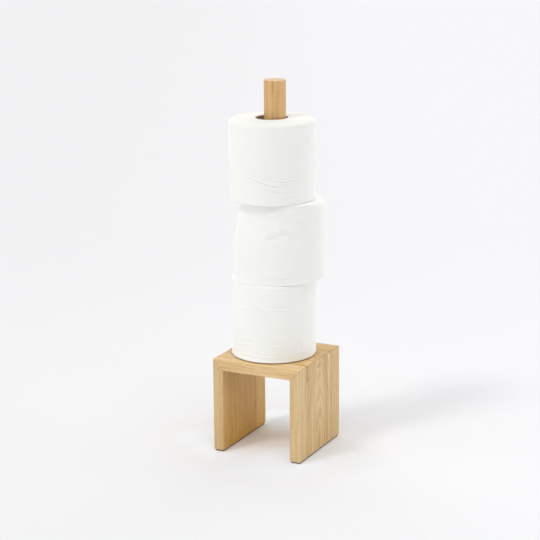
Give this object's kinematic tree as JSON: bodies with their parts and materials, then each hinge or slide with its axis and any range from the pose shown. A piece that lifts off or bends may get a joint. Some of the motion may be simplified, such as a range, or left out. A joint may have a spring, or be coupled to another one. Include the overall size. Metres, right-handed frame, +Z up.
{
  "type": "freestanding toilet roll holder",
  "caption": "Freestanding oak toilet roll holder: a mitred stool base with an upright round post that holds stacked spare rolls, which lift off and turn.",
  "frame": {"origin": "on the floor, under the middle of the base", "axes": "+Z up along the post, -Y towards the open front of the base's arch, +X to the right seen from the front"},
  "size_m": [0.125, 0.1226, 0.485],
  "materials": {
    "oak_top": "satin",
    "oak_left": "satin",
    "oak_right": "satin",
    "oak_post": "satin",
    "beech_spline": "matte",
    "brass_insert": "satin",
    "zinc_bolt": "satin",
    "pad_rubber": "matte",
    "core_cardboard": "matte",
    "bottom_paper": "matte",
    "middle_paper": "matte",
    "top_paper": "matte"
  },
  "bodies": {
    "holder": {"top_board": "oak_top", "left_leg": "oak_left", "right_leg": "oak_right", "left_spline": "beech_spline", "right_spline": "beech_spline", "post": "oak_post", "post_insert": "brass_insert", "post_bolt": "zinc_bolt", "left_foot_pad": "pad_rubber", "right_foot_pad": "pad_rubber"},
    "bottom_core": {"bottom_roll_core": "core_cardboard"},
    "bottom_roll": {"bottom_roll_paper": "bottom_paper"},
    "middle_core": {"middle_roll_core": "core_cardboard"},
    "middle_roll": {"middle_roll_paper": "middle_paper"},
    "top_core": {"top_roll_core": "core_cardboard"},
    "top_roll": {"top_roll_paper": "top_paper"}
  },
  "joints": [
    {"name": "bottom_roll_lift", "type": "slide", "parent": "holder", "child": "bottom_core", "axis": [0, 0, 1], "range_m": [0, 0.365]},
    {"name": "bottom_roll_turn", "type": "hinge", "parent": "bottom_core", "child": "bottom_roll", "pos_m": [-0.00341, 0.00197, 0.1263], "axis": [0, 0, 1], "continuous": true},
    {"name": "middle_roll_lift", "type": "slide", "parent": "bottom_core", "child": "middle_core", "axis": [0, 0, 1], "range_m": [0, 0.26]},
    {"name": "middle_roll_turn", "type": "hinge", "parent": "middle_core", "child": "middle_roll", "pos_m": [0.00377, 0.00184, 0.2291], "axis": [0, 0, 1], "continuous": true},
    {"name": "top_roll_lift", "type": "slide", "parent": "middle_core", "child": "top_core", "axis": [0, 0, 1], "range_m": [0, 0.156]},
    {"name": "top_roll_turn", "type": "hinge", "parent": "top_core", "child": "top_roll", "pos_m": [-0.00377, -0.00184, 0.3331], "axis": [0, 0, 1], "continuous": true}
  ]
}
